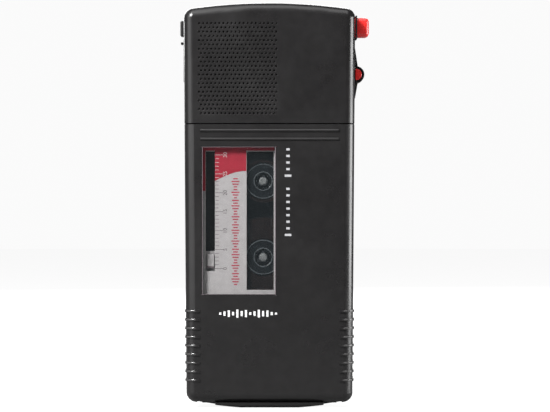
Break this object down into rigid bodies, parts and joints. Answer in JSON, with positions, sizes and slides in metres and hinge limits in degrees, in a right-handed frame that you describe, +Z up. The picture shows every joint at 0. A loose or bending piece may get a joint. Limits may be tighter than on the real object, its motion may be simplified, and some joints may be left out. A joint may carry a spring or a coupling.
{
  "type": "portable field recorder",
  "caption": "Slim upright hand-held cassette recorder with a loudspeaker, hinged cassette lid with window, side thumb slide, record button and battery bay.",
  "frame": {"origin": "middle of the small flat face on the lower end, on which it stands", "axes": "+Z up along the body, -Y out of the front with the window and loudspeaker, +X to the right seen from the front"},
  "size_m": [0.0668, 0.0245, 0.1424],
  "materials": {
    "case_plastic": "satin black moulded ABS with a fine texture",
    "smoked_window": "clear polished acrylic with a smoke tint",
    "clear_styrene": "clear polished styrene",
    "red_plastic": "satin red",
    "cassette_plastic": "dark grey styrene",
    "label_paper": "printed label, grey and dark red",
    "white_plastic": "white acetal",
    "magnetic_tape": "wound brown tape",
    "bright_steel": "bright steel",
    "brass": "turned brass",
    "black_rubber": "matt rubber",
    "black_component": "moulded component plastic",
    "circuit_laminate": "green laminate",
    "speaker_paper": "black pressed paper",
    "cell_sleeve": "plain printed sleeve"
  },
  "bodies": {
    "root": {"rear_cover": "case_plastic", "front_upper_cover": "case_plastic", "hinge_pin_left": "bright_steel", "hinge_pin_right": "bright_steel", "case_screw_1": "bright_steel", "case_screw_2": "bright_steel", "case_screw_3": "bright_steel", "case_screw_4": "bright_steel", "chassis_plate": "bright_steel", "drive_bridge": "bright_steel", "capstan_bearing": "brass", "motor": "bright_steel", "drive_belt": "black_rubber", "cassette_shell": "cassette_plastic", "cassette_label": "label_paper", "cassette_window": "clear_styrene", "head_spring": "bright_steel", "pinch_pivot": "bright_steel", "speaker_frame": "bright_steel", "speaker_cone": "speaker_paper", "microphone_capsule": "bright_steel", "microphone_boot": "black_rubber", "circuit_board": "circuit_laminate", "amplifier_chip": "black_component", "earphone_jack": "black_component", "record_switch": "black_component", "volume_potentiometer": "circuit_laminate", "record_collar": "black_rubber", "volume_escutcheon": "case_plastic", "battery_tray": "case_plastic", "battery_cell_1": "cell_sleeve", "battery_cell_2": "cell_sleeve", "battery_spring_1": "bright_steel", "battery_spring_2": "bright_steel"},
    "cassette_door": {"cassette_door": "case_plastic", "window_pane": "smoked_window"},
    "flywheel": {"flywheel": "brass", "capstan_shaft": "bright_steel"},
    "motor_pulley": {"motor_pulley": "brass"},
    "idler_wheel": {"idler_wheel": "black_rubber"},
    "takeup_reel": {"takeup_spindle": "white_plastic", "takeup_hub": "white_plastic", "takeup_tape_pack": "magnetic_tape"},
    "supply_reel": {"supply_spindle": "white_plastic", "supply_hub": "white_plastic", "supply_tape_pack": "magnetic_tape"},
    "index_pointer": {"index_pointer": "white_plastic"},
    "head_slide": {"head_slide": "bright_steel", "record_play_head": "bright_steel", "erase_head": "bright_steel"},
    "pinch_arm": {"pinch_arm": "bright_steel"},
    "pinch_roller": {"pinch_roller": "black_rubber"},
    "function_slider": {"function_slider": "case_plastic", "slider_inlay": "red_plastic"},
    "record_button": {"record_button": "red_plastic", "record_spring": "bright_steel"},
    "index_key": {"index_key": "case_plastic", "index_key_spring": "bright_steel"},
    "volume_slider": {"volume_slider": "case_plastic"},
    "battery_cover": {"battery_cover": "case_plastic"}
  },
  "joints": [
    {"name": "door_hinge", "type": "hinge", "parent": "root", "child": "cassette_door", "pos_m": [0, -0.0083, 0.0054], "axis": [1, 0, 0], "range_deg": [0, 75]},
    {"name": "flywheel_turn", "type": "hinge", "parent": "root", "child": "flywheel", "pos_m": [0.0102, 0, 0.088], "axis": [0, 1, 0], "continuous": true},
    {"name": "motor_turn", "type": "hinge", "parent": "root", "child": "motor_pulley", "pos_m": [0.0125, 0, 0.121], "axis": [0, 1, 0], "continuous": true},
    {"name": "idler_turn", "type": "hinge", "parent": "root", "child": "idler_wheel", "pos_m": [0.00568, 0, 0.08487], "axis": [0, 1, 0], "continuous": true},
    {"name": "takeup_turn", "type": "hinge", "parent": "root", "child": "takeup_reel", "pos_m": [-0.0022, 0, 0.0794], "axis": [0, 1, 0], "continuous": true},
    {"name": "supply_turn", "type": "hinge", "parent": "root", "child": "supply_reel", "pos_m": [-0.0022, 0, 0.0527], "axis": [0, 1, 0], "continuous": true},
    {"name": "index_travel", "type": "slide", "parent": "root", "child": "index_pointer", "axis": [0, 0, 1], "range_m": [0, 0.0357]},
    {"name": "function_travel", "type": "slide", "parent": "root", "child": "function_slider", "axis": [0, 0, 1], "range_m": [-0.006, 0.0028]},
    {"name": "head_travel", "type": "slide", "parent": "root", "child": "head_slide", "axis": [1, 0, 0], "range_m": [-0.0008, 0.0016]},
    {"name": "pinch_swing", "type": "hinge", "parent": "root", "child": "pinch_arm", "pos_m": [0.02, 0, 0.078], "axis": [0, 1, 0], "range_deg": [-5, 10]},
    {"name": "pinch_turn", "type": "hinge", "parent": "pinch_arm", "child": "pinch_roller", "pos_m": [0.0156, 0, 0.088], "axis": [0, 1, 0], "continuous": true},
    {"name": "record_press", "type": "slide", "parent": "root", "child": "record_button", "axis": [-1, 0, 0], "range_m": [0, 0.0025], "stiffness_N_per_m": 400},
    {"name": "index_press", "type": "slide", "parent": "root", "child": "index_key", "axis": [1, 0, 0], "range_m": [0, 0.0012], "stiffness_N_per_m": 500},
    {"name": "volume_travel", "type": "slide", "parent": "root", "child": "volume_slider", "axis": [0, 0, -1], "range_m": [0, 0.0108]},
    {"name": "battery_cover_lift", "type": "slide", "parent": "root", "child": "battery_cover", "axis": [0, 1, 0], "range_m": [0, 0.025]}
  ],
  "couplings": [
    {"joint": "motor_turn", "follows": "flywheel_turn", "ratio": 4.7083},
    {"joint": "idler_turn", "follows": "flywheel_turn", "ratio": -1.2},
    {"joint": "takeup_turn", "follows": "flywheel_turn", "ratio": 0.4231},
    {"joint": "supply_turn", "follows": "flywheel_turn", "ratio": 0.2297},
    {"joint": "pinch_turn", "follows": "flywheel_turn", "ratio": -0.2941},
    {"joint": "head_travel", "follows": "function_travel", "ratio": -0.25},
    {"joint": "pinch_swing", "follows": "function_travel", "rad_per_m": -27}
  ]
}
